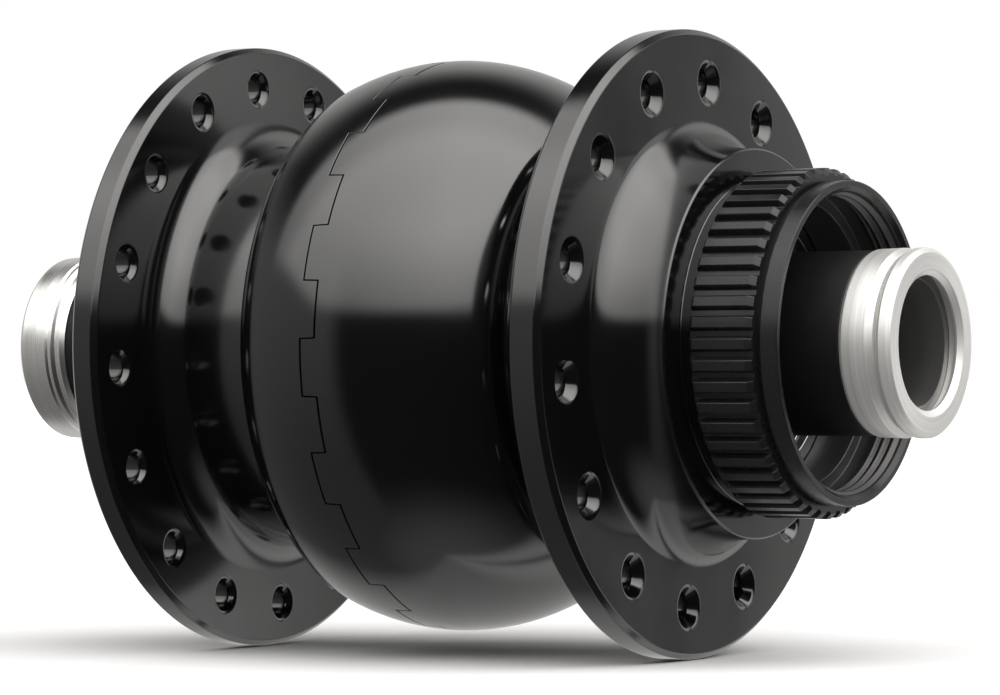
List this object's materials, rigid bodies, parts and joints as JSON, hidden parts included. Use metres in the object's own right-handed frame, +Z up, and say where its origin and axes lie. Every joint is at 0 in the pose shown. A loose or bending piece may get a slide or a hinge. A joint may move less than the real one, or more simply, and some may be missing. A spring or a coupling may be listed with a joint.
{
  "type": "hub dynamo",
  "caption": "Bicycle front hub that generates current for lamps, with two spoke flanges, a splined brake disc seat, through-axle end caps and plug terminals.",
  "frame": {"origin": "on the axle centreline, midway between the two end faces that the fork clamps", "axes": "+Y along the axle towards the brake disc side, +Z up, towards the terminals"},
  "size_m": [0.061, 0.1, 0.061],
  "materials": {
    "shell_black": "polished black anodised",
    "sleeve_black": "matte black anodised",
    "cap_silver": "turned",
    "axle_grey": "turned",
    "bearing_steel": "ground",
    "ball_steel": "polished",
    "soft_iron": "zinc plated",
    "magnet": "plated",
    "copper_wire": "enamelled",
    "cage_brass": "satin",
    "black_plastic": "matte",
    "seal_rubber": "matte",
    "lead_sleeving": "satin",
    "terminal_tin": "tin plated"
  },
  "bodies": {
    "fixed_axle": {"disc_side_inner_race": "bearing_steel", "connector_side_inner_race": "bearing_steel", "axle_tube": "axle_grey", "disc_side_sleeve": "sleeve_black", "disc_side_end_cap": "cap_silver", "connector_side_spacer": "sleeve_black", "connector_side_sleeve": "sleeve_black", "connector_side_end_cap": "cap_silver", "stator_core": "soft_iron", "disc_side_claw_plate": "soft_iron", "connector_side_claw_plate": "soft_iron", "coil_former": "black_plastic", "coil_winding": "copper_wire", "disc_side_inner_spacer": "axle_grey", "connector_side_inner_spacer": "axle_grey", "stator_leads": "lead_sleeving", "connector_housing": "black_plastic", "terminals": "terminal_tin"},
    "hub_shell": {"disc_side_shell": "shell_black", "connector_side_shell": "shell_black", "seam_ring_seal": "seal_rubber", "flux_ring": "soft_iron", "magnets_north": "magnet", "magnets_south": "magnet", "disc_side_outer_race": "bearing_steel", "connector_side_outer_race": "bearing_steel", "disc_side_bearing_seals": "seal_rubber", "connector_side_bearing_seals": "seal_rubber", "disc_side_circlip": "bearing_steel", "connector_side_circlip": "bearing_steel"},
    "disc_side_ball_set": {"disc_side_balls": "ball_steel", "disc_side_ball_cage": "cage_brass"},
    "connector_side_ball_set": {"connector_side_balls": "ball_steel", "connector_side_ball_cage": "cage_brass"}
  },
  "joints": [
    {"name": "shell_spin", "type": "hinge", "parent": "fixed_axle", "child": "hub_shell", "pos_m": [0, 0, 0], "axis": [0, 1, 0], "continuous": true},
    {"name": "disc_side_balls_roll", "type": "hinge", "parent": "fixed_axle", "child": "disc_side_ball_set", "pos_m": [0, 0.028, 0], "axis": [0, 1, 0], "continuous": true},
    {"name": "connector_side_balls_roll", "type": "hinge", "parent": "fixed_axle", "child": "connector_side_ball_set", "pos_m": [0, -0.031, 0], "axis": [0, 1, 0], "continuous": true}
  ],
  "couplings": [
    {"joint": "disc_side_balls_roll", "follows": "shell_spin", "ratio": 0.5854},
    {"joint": "connector_side_balls_roll", "follows": "shell_spin", "ratio": 0.5854}
  ]
}
